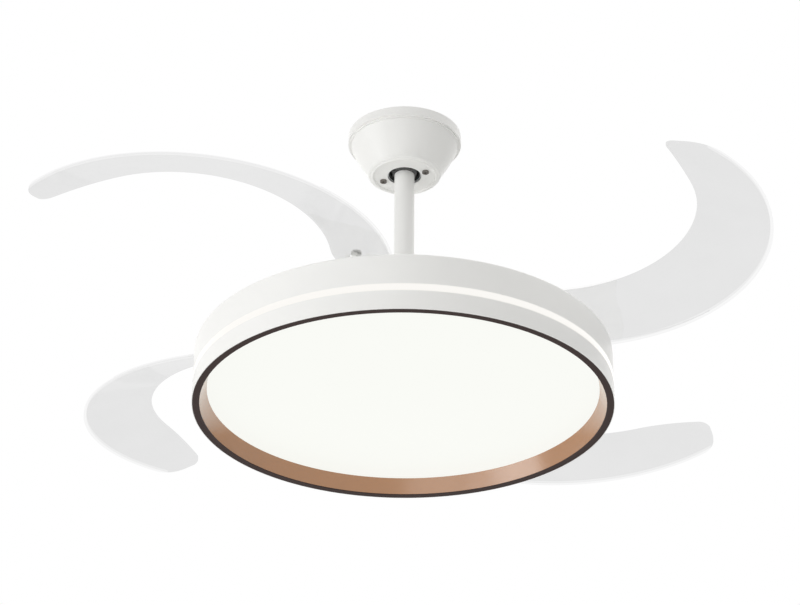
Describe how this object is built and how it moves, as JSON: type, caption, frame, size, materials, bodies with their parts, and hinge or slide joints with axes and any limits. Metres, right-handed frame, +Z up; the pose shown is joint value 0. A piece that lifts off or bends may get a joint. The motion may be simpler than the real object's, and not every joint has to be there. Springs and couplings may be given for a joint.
{
  "type": "ceiling fan",
  "caption": "Ceiling fan on a down rod with a round drum lamp and curved clear blades that fold in above the drum.",
  "frame": {"origin": "middle of the ceiling face of the hanging bracket, halfway between its two bolt holes", "axes": "+Z up, out of the ceiling face; +X along the line through the two bolt holes; the blades are open"},
  "size_m": [0.8218, 0.8218, 0.386],
  "materials": {
    "zinc_steel": "zinc plated sheet steel",
    "white_paint": "satin white powder coat",
    "white_aluminium": "spun aluminium with a satin white powder coat",
    "bare_aluminium": "spun, bare",
    "screw_steel": "bright zinc plated",
    "ivory_plastic": "matte moulded",
    "gray_plastic": "matte moulded",
    "black_rubber": "matte rubber",
    "black_plastic": "semi-gloss moulded",
    "cable_black": "soft cable sheath",
    "cast_gray": "painted casting",
    "core_steel": "stacked laminations",
    "copper": "enamelled copper wire",
    "light_white": "milky, lit from behind",
    "dark_trim": "dark brown satin",
    "copper_trim": "copper-gold satin",
    "board_white": "white board",
    "led_yellow": "phosphor",
    "cast_aluminium": "die-cast",
    "magnet": "sintered",
    "carrier_gray": "pressed aluminium with a light gray coat",
    "white_screw": "steel with a white coat",
    "clear_nylon": "clear to milky nylon",
    "bush_acetal": "white acetal",
    "spring_steel": "drawn wire",
    "gear_nylon": "white nylon",
    "clear_sheet": "clear polycarbonate",
    "clear_hub": "clear polycarbonate"
  },
  "bodies": {
    "bracket": {"ceiling_bracket": "zinc_steel", "canopy": "white_paint", "canopy_screws": "screw_steel", "terminal_block": "ivory_plastic", "receiver_box": "gray_plastic"},
    "liner": {"ball_liner": "black_rubber"},
    "hang": {"hanger_ball": "black_plastic", "ball_pin": "screw_steel", "down_rod": "white_paint", "rod_cable": "cable_black", "rod_coupling": "cast_gray", "coupling_pins": "screw_steel", "coupling_cover": "white_aluminium", "motor_shaft": "screw_steel", "stator_core": "core_steel", "stator_windings": "copper", "motor_dome": "white_aluminium", "lamp_pan": "white_aluminium", "light_strip": "light_white", "lower_band": "white_aluminium", "trim_ring": "dark_trim", "reflector_ring": "copper_trim", "diffuser": "light_white", "lamp_frame": "bare_aluminium", "led_boards": "board_white", "led_chips": "led_yellow", "drivers": "board_white", "lamp_screws": "screw_steel"},
    "rotor": {"rotor_shell": "cast_aluminium", "rotor_cover": "cast_aluminium", "magnets": "magnet", "bottom_bearing": "screw_steel", "top_bearing": "screw_steel", "rotor_screws": "screw_steel", "carrier_plate": "carrier_gray", "pivot_posts": "screw_steel", "pivot_bushes": "bush_acetal", "pivot_screws": "white_screw", "stop_pegs": "screw_steel", "stop_sleeves": "black_rubber", "return_springs": "spring_steel", "gear_cover": "carrier_gray"},
    "sync": {"sync_ring": "gear_nylon"},
    "wing_1": {"blade_1": "clear_sheet", "blade_hub_1": "clear_hub", "blade_gear_1": "gear_nylon", "blade_screws_1": "clear_nylon"},
    "wing_2": {"blade_2": "clear_sheet", "blade_hub_2": "clear_hub", "blade_gear_2": "gear_nylon", "blade_screws_2": "clear_nylon"},
    "wing_3": {"blade_3": "clear_sheet", "blade_hub_3": "clear_hub", "blade_gear_3": "gear_nylon", "blade_screws_3": "clear_nylon"},
    "wing_4": {"blade_4": "clear_sheet", "blade_hub_4": "clear_hub", "blade_gear_4": "gear_nylon", "blade_screws_4": "clear_nylon"}
  },
  "joints": [
    {"name": "liner_tilt", "type": "hinge", "parent": "bracket", "child": "liner", "pos_m": [0, 0, -0.036], "axis": [0, 1, 0], "range_deg": [-10, 10]},
    {"name": "ball_tilt", "type": "hinge", "parent": "liner", "child": "hang", "pos_m": [0, 0, -0.036], "axis": [1, 0, 0], "range_deg": [-10, 10]},
    {"name": "rotor_spin", "type": "hinge", "parent": "hang", "child": "rotor", "pos_m": [0, 0, -0.3], "axis": [0, 0, 1], "continuous": true},
    {"name": "blade_1_fold", "type": "hinge", "parent": "rotor", "child": "wing_1", "pos_m": [0.18328, -0.05464, -0.3], "axis": [0, 0, -1], "range_deg": [0, 101], "stiffness_Nm_per_rad": 0.05, "springref_deg": 131.78, "deforming": ["return_springs"]},
    {"name": "blade_2_fold", "type": "hinge", "parent": "rotor", "child": "wing_2", "pos_m": [0.05464, 0.18328, -0.3], "axis": [0, 0, -1], "range_deg": [0, 101], "stiffness_Nm_per_rad": 0.05, "springref_deg": 131.78},
    {"name": "blade_3_fold", "type": "hinge", "parent": "rotor", "child": "wing_3", "pos_m": [-0.18328, 0.05464, -0.3], "axis": [0, 0, -1], "range_deg": [0, 101], "stiffness_Nm_per_rad": 0.05, "springref_deg": 131.78},
    {"name": "blade_4_fold", "type": "hinge", "parent": "rotor", "child": "wing_4", "pos_m": [-0.05464, -0.18328, -0.3], "axis": [0, 0, -1], "range_deg": [0, 101], "stiffness_Nm_per_rad": 0.05, "springref_deg": 131.78},
    {"name": "sync_turn", "type": "hinge", "parent": "rotor", "child": "sync", "pos_m": [0, 0, -0.3], "axis": [0, 0, 1], "range_deg": [0, 15.3]}
  ],
  "couplings": [
    {"joint": "blade_2_fold", "follows": "blade_1_fold", "ratio": 1},
    {"joint": "blade_3_fold", "follows": "blade_1_fold", "ratio": 1},
    {"joint": "blade_4_fold", "follows": "blade_1_fold", "ratio": 1},
    {"joint": "sync_turn", "follows": "blade_1_fold", "ratio": 0.15038}
  ]
}
